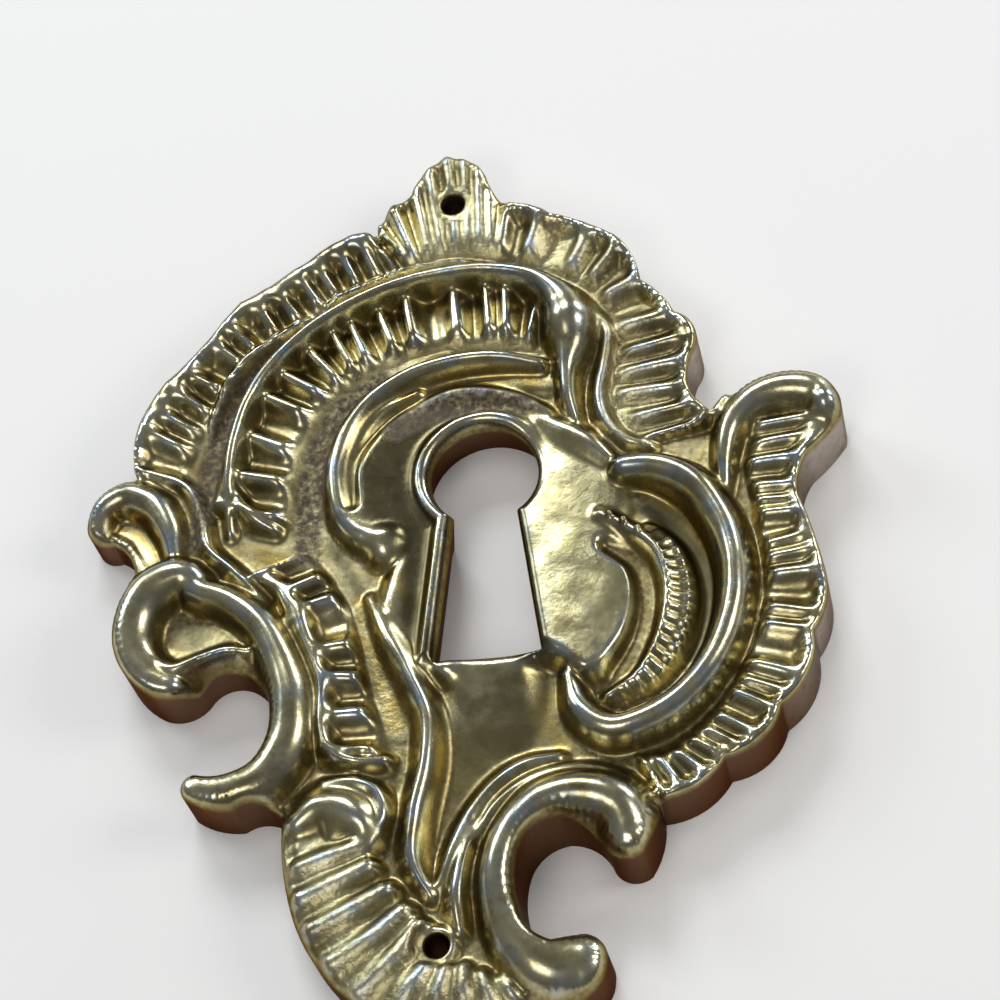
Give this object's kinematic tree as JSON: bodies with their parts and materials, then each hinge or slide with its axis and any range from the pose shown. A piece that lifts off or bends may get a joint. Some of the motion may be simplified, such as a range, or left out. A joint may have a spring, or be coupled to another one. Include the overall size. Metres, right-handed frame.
{
  "type": "keyhole escutcheon",
  "caption": "Cast brass rococo keyhole plate with scrolls, fluted borders and a shell foot; it is nailed over a lock to frame and guard the keyhole.",
  "frame": {"origin": "centre of the bounding box in plan, on the back plane that lies on the furniture", "axes": "+Z out of the carved front, +Y up to the finial"},
  "size_m": [0.0504, 0.0628, 0.0066],
  "materials": {
    "brass": "polished cast brass, worn bright on the crests, dark patina in the hollows"
  },
  "bodies": {
    "root": {"escutcheon": "brass"}
  },
  "joints": []
}
